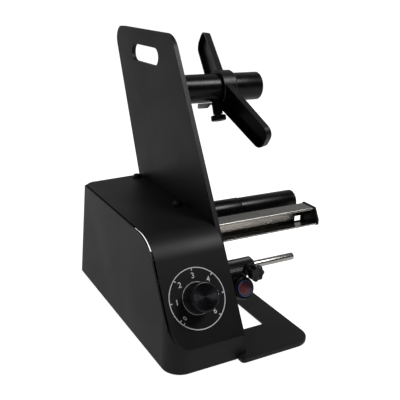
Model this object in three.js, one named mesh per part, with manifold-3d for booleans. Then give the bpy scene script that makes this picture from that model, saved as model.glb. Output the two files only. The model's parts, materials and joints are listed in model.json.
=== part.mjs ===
// Motorised roll winder and dispenser: a leaning side plate carries a free upper
// supply shaft, a driven winding roller, a steel peel channel and a photo sensor on
// a rod. A sheet-metal housing on its left holds the drive and the speed dial.
//
// Millimetres. +X points from the side plate to the rollers' free ends, +Y to the
// back, +Z up. The exported group has its origin at the middle of its footprint.

import * as THREE from "three";
import { mergeVertices } from "three/addons/utils/BufferGeometryUtils.js";
import Module from "manifold-3d";

const wasm = await Module();
wasm.setup();

// ---------------------------------------------------------------- driving sizes

const gap = 0.3; // between two pieces that touch on the real machine
const runningGap = 0.12; // between a shaft and its bore

const base = {
  thickness: 4,
  left: -76,
  right: 83,
  back: 276,
  housingFront: 11.5, // front edge where it lies under the housing
  noseLeft: -5, // left end of the part that reaches out to y = 0
  cornerRadius: 20,
};
const footWindow = { left: 6, right: 54.6, front: 49.2, back: 218 };

const plate = {
  thickness: 5,
  bottom: base.thickness + gap,
  top: 300,
  frontFoot: 10, // y of the upright front edge below the kink
  kink: 22,
  frontCorner: 28,
  backCorner: 16,
};
const plateFront = (z) => 0.589 * z;
const plateBack = (z) => 210.7 + 0.438 * z;
const handle = { y: 246.5, z: 271.8, length: 75, height: 20 };

const housing = {
  left: -79,
  right: -gap,
  front: 9.5,
  top: 121.5,
  sheet: 1.5,
  frontCorner: 19,
  backCorner: 16,
  bend: 40, // between the flat top and the sloping dial panel
};
const panelSlope = 0.579; // y gained for each millimetre of height
const panelOffset = -7.8;
const panelY = (z) => panelOffset + panelSlope * z;
const panelAngle = Math.PI / 2 - Math.atan(panelSlope);
const backLean = 0.2; // the back wall leans forward going up
const backSkew = 0.1; // and runs back towards the side plate
const backY = (x, z) => 263.6 + backSkew * x + backLean * (housing.top - z);
const cover = { left: housing.left + 3, front: 7.7, cornerRadius: 17 };

const dial = { x: -40.66, z: 66.1 };
const knob = { radius: 15, height: 18, shaftRadius: 3 };

const supply = { y: 218, z: 233, radius: 17.2, end: 140 };
const roller = { y: 130, z: 108.5, radius: 12.5, end: 140, sleeveEnd: 64.5, sleeveRadius: 13 };
const drive = { y: roller.y, z: 52, pulleyRadius: 12, drivenRadius: 8 };
const pulleyRow = { from: -24, to: -14 };
const rollerShaftRadius = 4;
const bearing = { radius: 8, width: 5, starts: { roller_bearing_inner: -12, roller_bearing_outer: -5.5 } };
const rod = { y: 68.5, z: 67.4, radius: 4, end: 100 };
const peel = { start: 7.6, end: 138, sheet: 1.5 };

// ------------------------------------------------------------------- materials

function finish(color, roughness, metalness) {
  return new THREE.MeshStandardMaterial({ color, roughness, metalness });
}

const satinBlackPaint = () => finish(0x252528, 0.5, 0.25);
const glossBlackPaint = () => finish(0x101013, 0.22, 0.3);
const blackPlastic = () => finish(0x1c1c1f, 0.55, 0);
const blackRubber = () => finish(0x151515, 0.9, 0);
const stainlessSteel = () => finish(0xb4b2ab, 0.28, 1);
const zincSteel = () => finish(0x9a9a98, 0.4, 1);
const darkSteel = () => finish(0x2c2c2e, 0.35, 1);
const aluminium = () => finish(0xb9bbbd, 0.4, 1);
const bronze = () => finish(0x9c7440, 0.4, 1);
const greenBoard = () => finish(0x1d5a34, 0.5, 0);
const redLens = () => finish(0x7a2028, 0.15, 0);

// --------------------------------------------------- solids from three.js shapes

function toSolid(geometry) {
  const bare = geometry.clone();
  bare.deleteAttribute("normal");
  bare.deleteAttribute("uv");
  const merged = mergeVertices(bare, 1e-4);
  return new wasm.Manifold(
    new wasm.Mesh({
      numProp: 3,
      vertProperties: new Float32Array(merged.attributes.position.array),
      triVerts: new Uint32Array(merged.index.array),
    }),
  );
}

function toGeometry(solid) {
  const { vertProperties, triVerts } = solid.getMesh();
  const geometry = new THREE.BufferGeometry();
  geometry.setAttribute("position", new THREE.BufferAttribute(vertProperties, 3));
  geometry.setIndex(new THREE.BufferAttribute(triVerts, 1));
  geometry.computeVertexNormals();
  return geometry;
}

function union(...solids) {
  return solids.reduce((whole, next) => whole.add(next));
}

function cut(solid, ...tools) {
  return tools.reduce((rest, tool) => rest.subtract(tool), solid);
}

// Turns a shape's own axes so that what was drawn along +Z lies along world +X,
// and a drawn (x, y) becomes a world (y, z).
const alongX = new THREE.Matrix4().makeBasis(
  new THREE.Vector3(0, 1, 0),
  new THREE.Vector3(0, 0, 1),
  new THREE.Vector3(1, 0, 0),
);

// For what is drawn where it belongs.
const asDrawn = new THREE.Matrix4();

function block(x, y, z) {
  const geometry = new THREE.BoxGeometry(x[1] - x[0], y[1] - y[0], z[1] - z[0]);
  geometry.translate((x[0] + x[1]) / 2, (y[0] + y[1]) / 2, (z[0] + z[1]) / 2);
  return toSolid(geometry);
}

function extrude(shape, from, to, placement = asDrawn, curveSegments = 4) {
  const depth = to - from;
  const geometry = new THREE.ExtrudeGeometry(shape, { depth, bevelEnabled: false, curveSegments });
  geometry.translate(0, 0, from);
  geometry.applyMatrix4(placement);
  return toSolid(geometry);
}

// A cylinder on the local Z axis.
function bar(radius, from, to, placement = asDrawn, sides = 20) {
  const geometry = new THREE.CylinderGeometry(radius, radius, to - from, sides);
  geometry.rotateX(Math.PI / 2);
  geometry.translate(0, 0, (from + to) / 2);
  geometry.applyMatrix4(placement);
  return toSolid(geometry);
}

// A solid of revolution on the local Z axis; the profile holds [radius, z] points.
function turned(profile, placement = asDrawn, sides = 20) {
  const points = profile.map(([radius, z]) => new THREE.Vector2(radius, z));
  if (THREE.ShapeUtils.isClockWise(points)) {
    points.reverse();
  }
  const geometry = new THREE.LatheGeometry(points, sides);
  geometry.rotateX(Math.PI / 2);
  geometry.applyMatrix4(placement);
  return toSolid(geometry);
}

function onAxis(y, z) {
  return new THREE.Matrix4().makeTranslation(0, y, z).multiply(alongX);
}

function barX(y, z, radius, from, to, sides) {
  return bar(radius, from, to, onAxis(y, z), sides);
}

function tubeX(y, z, outer, inner, from, to, sides) {
  const bore = barX(y, z, inner, from - 1, to + 1, sides);
  return cut(barX(y, z, outer, from, to, sides), bore);
}

// A closed outline through corner points, each rounded by its own radius.
function roundedOutline(corners) {
  const shape = new THREE.Shape();
  const count = corners.length;
  corners.forEach(([x, y, radius = 0], index) => {
    const corner = new THREE.Vector2(x, y);
    const [beforeX, beforeY] = corners[(index + count - 1) % count];
    const [afterX, afterY] = corners[(index + 1) % count];
    const toBefore = new THREE.Vector2(beforeX, beforeY).sub(corner).normalize();
    const toAfter = new THREE.Vector2(afterX, afterY).sub(corner).normalize();
    const halfAngle = Math.acos(toBefore.dot(toAfter)) / 2;
    const start = corner.clone().addScaledVector(toBefore, radius / Math.tan(halfAngle));
    if (index === 0) {
      shape.moveTo(start.x, start.y);
    } else {
      shape.lineTo(start.x, start.y);
    }
    if (radius > 0) {
      const inward = toBefore.clone().add(toAfter).normalize();
      const centre = corner.clone().addScaledVector(inward, radius / Math.sin(halfAngle));
      const end = corner.clone().addScaledVector(toAfter, radius / Math.tan(halfAngle));
      const clockwise = toBefore.cross(toAfter) > 0;
      const startAngle = start.clone().sub(centre).angle();
      const endAngle = end.clone().sub(centre).angle();
      shape.absarc(centre.x, centre.y, radius, startAngle, endAngle, clockwise);
    }
  });
  shape.closePath();
  return shape;
}

function roundHole(x, y, radius) {
  const hole = new THREE.Path();
  hole.absarc(x, y, radius, 0, Math.PI * 2, true);
  return hole;
}

function slotHole(x, y, length, height) {
  const radius = height / 2;
  const reach = length / 2 - radius;
  const hole = new THREE.Path();
  hole.absarc(x + reach, y, radius, Math.PI / 2, -Math.PI / 2, true);
  hole.absarc(x - reach, y, radius, -Math.PI / 2, -3 * (Math.PI / 2), true);
  hole.closePath();
  return hole;
}

function piece(name, solid, material) {
  const mesh = new THREE.Mesh(toGeometry(solid), material);
  mesh.name = name;
  return mesh;
}

function assembly(...children) {
  const group = new THREE.Group();
  group.add(...children);
  return group;
}

// A screw along local +Z: its head's top is at z = 0 and its shank runs down.
function panHeadScrew(headRadius, headHeight, shankRadius, length, placement) {
  const recess = bar(headRadius * 0.45, -headHeight / 2, 1, placement, 6);
  const head = turned(
    [
      [0, -headHeight - length],
      [shankRadius, -headHeight - length],
      [shankRadius, -headHeight],
      [headRadius, -headHeight],
      [headRadius, -headHeight * 0.55],
      [headRadius * 0.62, 0],
      [0, 0],
    ],
    placement,
    12,
  );
  return cut(head, recess);
}

// ------------------------------------------------------------------ the frame

function basePlate() {
  const outline = roundedOutline([
    [base.noseLeft, 0, 4],
    [base.right, 0, base.cornerRadius],
    [base.right, base.back, base.cornerRadius],
    [base.left, base.back, 14],
    [base.left, base.housingFront, 16],
    [base.noseLeft, base.housingFront],
  ]);
  const sheet = extrude(outline, 0, base.thickness);
  const window = extrude(
    roundedOutline([
      [footWindow.left, footWindow.front, 2],
      [footWindow.right, footWindow.front, 2],
      [footWindow.right, footWindow.back, 2],
      [footWindow.left, footWindow.back, 2],
    ]),
    -1,
    base.thickness + 1,
  );
  return piece("base_plate", cut(sheet, window), satinBlackPaint());
}

const footPad = { radius: 8, height: 1.5 };

function rubberFeet() {
  const places = {
    rubber_foot_front_left: [-58, 30],
    rubber_foot_front_middle: [8, 16],
    rubber_foot_front_right: [66, 22],
    rubber_foot_back_left: [-58, 250],
    rubber_foot_back_middle: [8, 250],
    rubber_foot_back_right: [66, 246],
  };
  return Object.entries(places).map(([name, [x, y]]) => {
    const placement = new THREE.Matrix4().makeTranslation(x, y, -gap);
    const profile = [
      [0, -footPad.height],
      [footPad.radius - 1, -footPad.height],
      [footPad.radius, 0],
      [0, 0],
    ];
    return piece(name, turned(profile, placement, 20), blackRubber());
  });
}

const plateFlange = { left: -22, thickness: 4, from: 45, to: 205, screws: [60, 125, 190], screwX: -12 };

function sidePlate() {
  const outline = roundedOutline([
    [plate.frontFoot, plate.bottom],
    [plateBack(plate.bottom), plate.bottom],
    [plateBack(plate.top), plate.top, plate.backCorner],
    [plateFront(plate.top), plate.top, plate.frontCorner],
    [plateFront(plate.kink), plate.kink],
  ]);
  outline.holes.push(slotHole(handle.y, handle.z, handle.length, handle.height));
  outline.holes.push(roundHole(roller.y, roller.z, 6));
  outline.holes.push(roundHole(rod.y, rod.z, 2.3));
  peelScrewPlaces.forEach(([y, z]) => outline.holes.push(roundHole(y, z, 2)));
  const sheet = extrude(outline, 0, plate.thickness, alongX, 5);
  const flange = block(
    [plateFlange.left, 1],
    [plateFlange.from, plateFlange.to],
    [plate.bottom, plate.bottom + plateFlange.thickness],
  );
  const screwHoles = plateFlange.screws.map((y) => {
    const placement = new THREE.Matrix4().makeTranslation(plateFlange.screwX, y, 0);
    return bar(2.4, 0, 20, placement, 24);
  });
  return piece("side_plate", cut(union(sheet, flange), ...screwHoles), satinBlackPaint());
}

function plateScrews() {
  const top = plate.bottom + plateFlange.thickness + gap + 2.6;
  return plateFlange.screws.map((y, index) => {
    const placement = new THREE.Matrix4().makeTranslation(plateFlange.screwX, y, top);
    const screw = panHeadScrew(4, 2.6, 2.1, plateFlange.thickness + gap - 0.4, placement);
    return piece(`plate_screw_${index + 1}`, screw, zincSteel());
  });
}

// ------------------------------------------------------------------ the housing

// Everything inside the housing's top and dial panel, seen from the side and
// moved in by `inset` from the outer faces.
function sideProfile(inset) {
  const alongSlope = Math.hypot(1, panelSlope);
  const slopeY = (z) => panelY(z) + inset * alongSlope;
  const top = housing.top - inset;
  return extrude(
    roundedOutline([
      [slopeY(-40), -40],
      [400, -40],
      [400, top],
      [slopeY(top), top, housing.bend - inset],
    ]),
    housing.left - 5,
    housing.right,
    alongX,
    6,
  );
}

// An upright prism with a rounded front left corner, open-ended to the back.
function frontPrism(left, front, cornerRadius, right = housing.right) {
  const outline = roundedOutline([
    [left, front, cornerRadius],
    [right, front],
    [right, 400],
    [left, 400],
  ]);
  return extrude(outline, -1, 160);
}

// A prism that ends at the leaning back wall, with a rounded back left corner.
function backPrism(left, inset, bottom = -1) {
  const back = (x) => backY(x, 0) - inset;
  const outline = roundedOutline([
    [left, -60],
    [housing.right, -60],
    [housing.right, back(housing.right)],
    [left, back(left), housing.backCorner - inset],
  ]);
  const lean = new THREE.Matrix4().makeShear(0, 0, 0, 0, 0, 0);
  lean.elements[9] = -backLean;
  return extrude(outline, bottom, 160, lean);
}

function housingWall() {
  const outside = frontPrism(housing.left, housing.front, housing.frontCorner).intersect(
    backPrism(housing.left, 0),
  );
  const inside = frontPrism(
    housing.left + housing.sheet,
    housing.front + housing.sheet,
    housing.frontCorner - housing.sheet,
    housing.right + 1,
  ).intersect(backPrism(housing.left + housing.sheet, housing.sheet, -2).add(
    block([-40, 1], [-60, 240], [-2, 150]),
  ));
  const band = cut(outside, inside);
  const underCover = sideProfile(housing.sheet + 0.5);
  const besideCover = sideProfile(0.4).intersect(
    block([housing.left - 1, housing.left + housing.sheet], [-60, 400], [-40, 200]),
  );
  const ground = block([-200, 200], [-200, 600], [-60, 0]);
  const besideBase = block([base.noseLeft - gap, 10], [-5, 40], [-5, plate.bottom]);
  const tab = { half: 6, front: 245, bottom: 118, top: housing.top - housing.sheet - 0.5 };
  const [tabX, tabY] = coverScrewPlaces[1];
  const screwTab = block(
    [tabX - tab.half, tabX + tab.half],
    [tab.front, backY(tabX, tab.top) - housing.sheet / 2],
    [tab.bottom, tab.top],
  );
  const wall = cut(
    band.intersect(union(underCover, besideCover)).add(screwTab),
    ground,
    besideBase,
    backFitting(5.6, -6, 6),
    coverScrewHole(tabX, tabY, 100),
  );
  return piece("housing_wall", wall, satinBlackPaint());
}

function housingCover() {
  const plan = frontPrism(cover.left, cover.front, cover.cornerRadius).intersect(
    backPrism(cover.left, housing.sheet + 0.6),
  );
  const layer = cut(sideProfile(0), sideProfile(housing.sheet));
  const dialHole = bar(4, -6, 6, dialPlacement, 24);
  const screwHoles = coverScrewPlaces.map(([x, y]) => {
    return coverScrewHole(x, y, 100);
  });
  const lowerEdge = block([-200, 200], [-200, 60], [-60, coverBottom]);
  return piece(
    "housing_cover",
    cut(plan.intersect(layer), dialHole, lowerEdge, ...screwHoles),
    satinBlackPaint(),
  );
}

const coverBottom = 26.8;
const coverScrewPlaces = [
  [-8, 139], // screws into the bearing block
  [-8, 252], // screws into a tab folded from the back wall
];
const coverScrew = { headRadius: 6, headHeight: 3.6, shankRadius: 1.5, holeRadius: 1.8, length: 6 };
const dialPlacement = new THREE.Matrix4()
  .makeTranslation(dial.x, panelY(dial.z), dial.z)
  .multiply(new THREE.Matrix4().makeRotationX(panelAngle));

// Fittings on the back wall stand on its leaning, skewed face.
const backNormal = new THREE.Vector3(-backSkew, 1, backLean).normalize();
const inlet = { x: -45, z: 40 };

function backPlacement() {
  const turn = new THREE.Quaternion().setFromUnitVectors(new THREE.Vector3(0, 0, 1), backNormal);
  const place = new THREE.Vector3(inlet.x, backY(inlet.x, inlet.z), inlet.z);
  return new THREE.Matrix4().compose(place, turn, new THREE.Vector3(1, 1, 1));
}

function backFitting(radius, from, to) {
  return bar(radius, from, to, backPlacement(), 20);
}

function powerInlet() {
  const body = union(backFitting(5.3, -14, gap + 0.1), backFitting(7.5, gap, 2.3));
  const socket = backFitting(3.6, -9, 5);
  const pin = backFitting(1.1, -10, 1.6);
  return piece("power_inlet", cut(body, socket).add(pin), blackPlastic());
}

function coverScrewHole(x, y, bottom) {
  const placement = new THREE.Matrix4().makeTranslation(x, y, 0);
  return bar(coverScrew.holeRadius, bottom, housing.top + 5, placement, 16);
}

function coverScrews() {
  const { headRadius, headHeight, shankRadius, length } = coverScrew;
  const top = housing.top + gap + headHeight;
  return coverScrewPlaces.map(([x, y], index) => {
    const placement = new THREE.Matrix4().makeTranslation(x, y, top);
    const screw = panHeadScrew(headRadius, headHeight, shankRadius, length, placement);
    return piece(`cover_screw_${index + 1}`, screw, darkSteel());
  });
}

// ---------------------------------------------------------------- the speed dial

function speedDial() {
  const backOfPanel = -housing.sheet - gap;
  const canDepth = 9;
  const bushing = { radius: 3.6, top: 4.5 };
  const can = bar(8.5, backOfPanel - canDepth, backOfPanel);
  const bush = bar(bushing.radius, backOfPanel - 1, bushing.top);
  const shaftBore = bar(knob.shaftRadius + runningGap, backOfPanel - 6, bushing.top + 1);
  const nutBore = bar(bushing.radius + gap, -1, 4);
  const nut = cut(bar(6.2, gap, 2.6, asDrawn, 6), nutBore);
  const shaft = bar(knob.shaftRadius, backOfPanel - 5, knob.height - 3.2);
  return assembly(
    piece("potentiometer", cut(union(can, bush), shaftBore), zincSteel()),
    piece("potentiometer_nut", nut, zincSteel()),
    piece("potentiometer_shaft", shaft, aluminium()),
    piece("speed_knob", speedKnob(), glossBlackPaint()),
  );
}

function speedKnob() {
  const { radius, height } = knob;
  const foot = 0.8; // clearance over the panel
  const body = turned(
    [
      [0, 6],
      [7.5, 6],
      [7.5, foot + 0.2],
      [radius - 0.6, foot],
      [radius, foot + 2.2],
      [radius - 0.5, foot + 2.8],
      [radius - 0.6, height - 1],
      [radius - 1.4, height - 0.2],
      [radius - 2, height],
      [0, height - 0.4],
    ],
    asDrawn,
    48,
  );
  const shaftHole = bar(knob.shaftRadius + runningGap, 0, height - 3);
  const groove = { width: 1, length: 5, depth: 1.6 };
  const pointer = block(
    [-groove.width / 2, groove.width / 2],
    [radius - groove.length, radius + 1],
    [height - groove.depth, height + 1],
  );
  const turn = new THREE.Matrix4().makeRotationZ(offAngle);
  return cut(body, shaftHole, pointer).transform(turn.elements);
}

// The pointer rests on the off mark, left of and below the dial's centre.
const offAngle = THREE.MathUtils.degToRad(133);

function dialGroup() {
  const group = speedDial();
  group.position.set(dial.x, panelY(dial.z), dial.z);
  group.rotation.x = panelAngle;
  return group;
}

// ------------------------------------------------------------------- the drive

const bracket = { x: -29, thickness: 3, from: 100, to: 160, top: 80 };
const motorAxis = { y: drive.y, z: drive.z - 7 };
const gearMotorSize = { gearboxRadius: 18.5, gearboxLength: 21, motorRadius: 16.5, motorLength: 24 };
const motorShaftRadius = 3;

function motorBracket() {
  const bottom = base.thickness + gap;
  const upright = block(
    [bracket.x, bracket.x + bracket.thickness],
    [bracket.from, bracket.to],
    [bottom, bracket.top],
  );
  const foot = block([-58, bracket.x + 1], [bracket.from, bracket.to], [bottom, bottom + 3]);
  const shaftHole = barX(drive.y, drive.z, 6.5, bracket.x - 1, bracket.x + 5);
  return piece("motor_bracket", cut(union(upright, foot), shaftHole), zincSteel());
}

function gearMotor() {
  const { y, z } = motorAxis;
  const face = bracket.x - gap;
  const { gearboxRadius, gearboxLength, motorRadius, motorLength } = gearMotorSize;
  const gearboxEnd = face - gearboxLength;
  const motorEnd = gearboxEnd - gap - motorLength;
  const gearbox = union(
    barX(y, z, gearboxRadius, gearboxEnd, face),
    barX(drive.y, drive.z, 6, face - 1, bracket.x + bracket.thickness),
  );
  const shaftBore = barX(
    drive.y,
    drive.z,
    motorShaftRadius + runningGap,
    face - 8,
    bracket.x + 6,
    24,
  );
  const motor = union(
    barX(y, z, motorRadius, motorEnd, gearboxEnd - gap),
    barX(y, z, 5, motorEnd - 1.2, motorEnd + 1),
  );
  return [
    piece("gearbox", cut(gearbox, shaftBore), zincSteel()),
    piece("drive_motor", motor, darkSteel()),
  ];
}

function flangedPulley(y, z, radius, boreRadius) {
  const { from, to } = pulleyRow;
  const rim = radius + 1;
  const pulley = union(
    barX(y, z, radius - 0.3, from, to),
    barX(y, z, rim, from, from + 1),
    barX(y, z, rim, to - 1, to),
  );
  return cut(pulley, barX(y, z, boreRadius + gap, from - 1, to + 1));
}

function drivePulley() {
  const { y, z } = drive;
  const shaft = barX(y, z, motorShaftRadius, bracket.x - 7, pulleyRow.to + 1, 24);
  return [
    piece("drive_pulley", flangedPulley(y, z, drive.pulleyRadius, motorShaftRadius), aluminium()),
    piece("motor_shaft", shaft, zincSteel()),
  ];
}

function beltLoop(offset) {
  const lower = drive.pulleyRadius + offset;
  const upper = drive.drivenRadius + offset;
  const lean = Math.asin((lower - upper) / (roller.z - drive.z));
  const loop = new THREE.Shape();
  loop.absarc(roller.y, roller.z, upper, lean, Math.PI - lean, false);
  loop.absarc(drive.y, drive.z, lower, Math.PI - lean, 2 * Math.PI + lean, false);
  loop.closePath();
  return loop;
}

function driveBelt() {
  const { from, to } = pulleyRow;
  const outside = extrude(beltLoop(1.5), from + 1.5, to - 1.5, alongX, 6);
  const inside = extrude(beltLoop(0.1), from, to, alongX, 6);
  return piece("drive_belt", cut(outside, inside), blackRubber());
}

function bearingBlock() {
  const { y, z } = roller;
  const left = -12.5;
  const body = block([left, -gap], [y - 13, y + 13], [z - 14, z + 10]);
  const seat = barX(y, z, bearing.radius + 0.2, left - 1, 1);
  const [screwX, screwY] = coverScrewPlaces[0];
  const screwHole = coverScrewHole(screwX, screwY, z + 6.5);
  return piece("bearing_block", cut(body, seat, screwHole), aluminium());
}

function rollerBearings() {
  const { y, z } = roller;
  const bore = rollerShaftRadius + runningGap;
  return Object.entries(bearing.starts).map(([name, from]) => {
    return piece(name, tubeX(y, z, bearing.radius, bore, from, from + bearing.width), zincSteel());
  });
}

// The board stands on four hexagonal posts that are pressed into it.
const board = { left: -70, right: -34, front: 180, back: 240, z: 13, sheet: 1.6, inset: 3.5 };

function controlBoard() {
  const { left, right, front, back, z, sheet, inset } = board;
  const seat = z + 1;
  const upright = (x, y, radius, from, to, sides) => {
    return bar(radius, from, to, new THREE.Matrix4().makeTranslation(x, y, 0), sides);
  };
  const posts = [left + inset, right - inset].flatMap((x) => {
    return [front + inset, back - inset].map((y) => upright(x, y, 2.3, base.thickness + gap, seat, 6));
  });
  const terminals = block([-67, -57], [188, 208], [seat, seat + 10]);
  const driver = block([-48, -38], [212, 230], [seat, seat + 8]);
  const relay = block([-66, -54], [220, 232], [seat, seat + 14]);
  const largeCapacitor = upright(-48, 190, 5, seat, seat + 13, 24);
  const smallCapacitor = upright(-48, 202, 4, seat, seat + 10, 24);
  const plain = block([left, right], [front, back], [z, z + sheet]);
  const parts = union(plain, terminals, driver, relay, largeCapacitor, smallCapacitor, ...posts);
  return piece("control_board", parts, greenBoard());
}

// --------------------------------------------------------------- the winding roller

function windingRoller() {
  const { y, z, radius, end, sleeveEnd, sleeveRadius } = roller;
  const start = plate.thickness + 1;
  const wall = 2;
  const hubs = union(
    tubeX(y, z, radius - wall + 0.5, rollerShaftRadius + 0.2, start + 2, start + 12),
    tubeX(y, z, radius - wall + 0.5, rollerShaftRadius + 0.2, end - 16, end - 6),
  );
  const tube = union(tubeX(y, z, radius, radius - wall, start, end - 3, 36), hubs);
  const sleeve = tubeX(y, z, sleeveRadius, radius + 0.2, start, sleeveEnd, 36);
  const cap = turned(
    [
      [0, end - 3 + gap],
      [radius, end - 3 + gap],
      [radius, end - 0.8],
      [radius - 0.8, end],
      [0, end],
    ],
    onAxis(y, z),
    36,
  );
  const shaft = barX(y, z, rollerShaftRadius, pulleyRow.from - 1, end - 5, 32);
  return [
    piece("winding_roller", tube, glossBlackPaint()),
    piece("roller_sleeve", sleeve, glossBlackPaint()),
    piece("roller_end_cap", cap, glossBlackPaint()),
    piece("roller_shaft", shaft, zincSteel()),
    piece("driven_pulley", flangedPulley(y, z, drive.drivenRadius, rollerShaftRadius), aluminium()),
  ];
}

// --------------------------------------------------------------- the supply shaft

const axle = { radius: 6, flangeRadius: 13, flange: 4, end: 126 };
const tubeWall = 2.2;

function supplyAxle() {
  const { y, z } = supply;
  const start = plate.thickness + gap;
  const solid = turned(
    [
      [0, start],
      [axle.flangeRadius, start],
      [axle.flangeRadius, start + axle.flange],
      [axle.radius, start + axle.flange],
      [axle.radius, axle.end - 1],
      [axle.radius - 1, axle.end],
      [0, axle.end],
    ],
    onAxis(y, z),
  );
  const groove = tubeX(y, z, axle.radius + 2, axle.radius - 1, 122, 123.6);
  return piece("supply_axle", cut(solid, groove), zincSteel());
}

function axleCirclip() {
  const { y, z } = supply;
  const ring = tubeX(y, z, axle.radius + 1.6, axle.radius - 0.8, 122.3, 123.3);
  const mouth = block([122, 124], [y - 2.5, y + 2.5], [z, z + 12]);
  return piece("axle_circlip", cut(ring, mouth), darkSteel());
}

function brakeSpring() {
  const { y, z } = supply;
  const start = plate.thickness + gap + axle.flange + gap;
  const coils = 3;
  const stepsPerCoil = 12;
  const pitch = 3.4;
  const wire = 0.8;
  const radius = axle.radius + 2.4;
  const points = [];
  for (let step = 0; step <= coils * stepsPerCoil; step += 1) {
    const angle = (step / stepsPerCoil) * Math.PI * 2;
    const x = start + wire + (pitch * step) / stepsPerCoil;
    points.push(new THREE.Vector3(x, y + radius * Math.cos(angle), z + radius * Math.sin(angle)));
  }
  const section = new THREE.Shape();
  section.absarc(0, 0, wire, 0, Math.PI * 2, false);
  const geometry = new THREE.ExtrudeGeometry(section, {
    extrudePath: new THREE.CatmullRomCurve3(points),
    steps: coils * stepsPerCoil,
    curveSegments: 3,
    bevelEnabled: false,
  });
  return piece("brake_spring", toSolid(geometry), zincSteel());
}

function brakeWasher() {
  const { y, z } = supply;
  return piece("brake_washer", tubeX(y, z, 12, axle.radius + 0.2, 22, 23.5), bronze());
}

function supplyTube() {
  const { y, z, radius, end } = supply;
  const start = plate.thickness + 0.9;
  const inner = radius - tubeWall;
  const tube = turned(
    [
      [inner, start],
      [radius, start],
      [radius, end - 1],
      [radius - 1, end],
      [inner, end],
      [inner, start],
    ],
    onAxis(y, z),
    40,
  );
  const bush = (from, to) => tubeX(y, z, inner - 0.2, axle.radius + runningGap, from, to);
  const plug = turned(
    [
      [0, end - 8],
      [inner - 0.2, end - 8],
      [inner - 0.2, end - 1.2],
      [0, end - 1.2],
    ],
    onAxis(y, z),
  );
  return [
    piece("supply_tube", tube, glossBlackPaint()),
    piece("supply_bush_inner", bush(24, 36), bronze()),
    piece("supply_bush_outer", bush(109, 121.5), bronze()),
    piece("supply_end_plug", plug, blackPlastic()),
  ];
}

// ---------------------------------------------------------------- the roll guide

const guide = {
  left: 83,
  right: 101,
  hubRadius: 21,
  reach: 98,
  halfWidthHub: 17,
  halfWidthTip: 14.5,
  tipCorner: 11,
  depth: 8,
  rim: 2,
  floor: 2.4,
  dish: 0.22, // the arms lean away from the side plate by this much for each mm
  tilt: THREE.MathUtils.degToRad(33), // of the upper arm, above the horizontal
  screwTurn: THREE.MathUtils.degToRad(-110), // of the thumb screw, from straight back
  screwX: 79.8,
};

// One arm, drawn from the shaft's axis along local +X, with local +Z towards the
// rollers' free ends. It is a tray whose open side faces the side plate.
function guideArm() {
  const { rim, floor, depth } = guide;
  const arm = extrude(armOutline(0), 0, depth);
  const pocket = extrude(armOutline(rim), -1, depth - floor);
  const hubEnd = bar(guide.hubRadius + 3, -2, depth, asDrawn, 24);
  return cut(arm, cut(pocket, hubEnd));
}

function armOutline(inset) {
  const { reach, halfWidthHub, halfWidthTip, tipCorner } = guide;
  return roundedOutline([
    [0, -halfWidthHub + inset],
    [reach - inset, -halfWidthTip + inset, tipCorner - inset],
    [reach - inset, halfWidthTip - inset, tipCorner - inset],
    [0, halfWidthHub - inset],
  ]);
}

function rollGuide() {
  const { y, z, radius } = supply;
  const { left, right, hubRadius, dish, tilt } = guide;
  const arms = [0, Math.PI].map((half) => {
    const placement = new THREE.Matrix4()
      .makeTranslation(left - 2, y, z)
      .multiply(alongX)
      .multiply(new THREE.Matrix4().makeRotationZ(tilt + half))
      .multiply(new THREE.Matrix4().makeRotationY(-Math.atan(dish)));
    return guideArm().transform(placement.elements);
  });
  const hub = union(
    barX(y, z, hubRadius, left - 1, right - 1.5, 40),
    barX(y, z, hubRadius - 1, left - 1, right, 40),
  );
  const bore = barX(y, z, radius + gap, left - 30, right + 20, 40);
  const boss = bar(6, radius, thumbScrew.headFrom - 1, thumbScrewPlacement());
  const thread = bar(thumbScrew.stemRadius + gap, 0, 40, thumbScrewPlacement());
  const solid = cut(union(hub, ...arms, boss), bore, thread);
  return piece("roll_guide", solid, blackPlastic());
}

// Lengths are measured from the supply shaft's axis.
const thumbScrew = { headFrom: 33.2, headTo: 40.2, headRadius: 9, stemRadius: 2.5 };

// From the supply shaft's axis, local +Z points out along the thumb screw.
function thumbScrewPlacement() {
  const outward = new THREE.Vector3(0, Math.cos(guide.screwTurn), Math.sin(guide.screwTurn));
  const place = new THREE.Vector3(guide.screwX, supply.y, supply.z);
  const turn = new THREE.Quaternion().setFromUnitVectors(new THREE.Vector3(0, 0, 1), outward);
  return new THREE.Matrix4().compose(place, turn, new THREE.Vector3(1, 1, 1));
}

function guideThumbScrew() {
  const { headFrom, headTo, headRadius, stemRadius } = thumbScrew;
  const gripCount = 16;
  const stem = bar(stemRadius, supply.radius + gap + 0.1, headFrom + 2, thumbScrewPlacement());
  const head = bar(headRadius, headFrom, headTo, thumbScrewPlacement(), 32);
  const grips = [];
  for (let index = 0; index < gripCount; index += 1) {
    const angle = (index / gripCount) * Math.PI * 2;
    const around = new THREE.Matrix4()
      .makeRotationZ(angle)
      .multiply(new THREE.Matrix4().makeTranslation(headRadius + 0.2, 0, 0));
    const placement = thumbScrewPlacement().multiply(around);
    grips.push(bar(0.9, headFrom - 1, headTo + 1, placement, 6));
  }
  return piece("guide_thumb_screw", cut(union(stem, head), ...grips), blackPlastic());
}

// A plated leaf that stands on edge under the tube and is held by the guide's hub.
function guideLeaf() {
  const top = supply.z - supply.radius - 1;
  const bottom = supply.z - guide.hubRadius - 3.3;
  const outline = roundedOutline([
    [58, bottom, 1.5],
    [72, bottom, 1],
    [75, top - 2.5],
    [guide.left - 1 - gap, top - 2.5],
    [guide.left - 1 - gap, top],
    [58, top, 1.5],
  ]);
  const upright = new THREE.Matrix4().makeRotationX(Math.PI / 2);
  upright.setPosition(0, supply.y + 1.8, 0);
  return piece("guide_leaf", extrude(outline, 0, 1.6, upright), zincSteel());
}

// --------------------------------------------------------------- the peel channel

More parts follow.
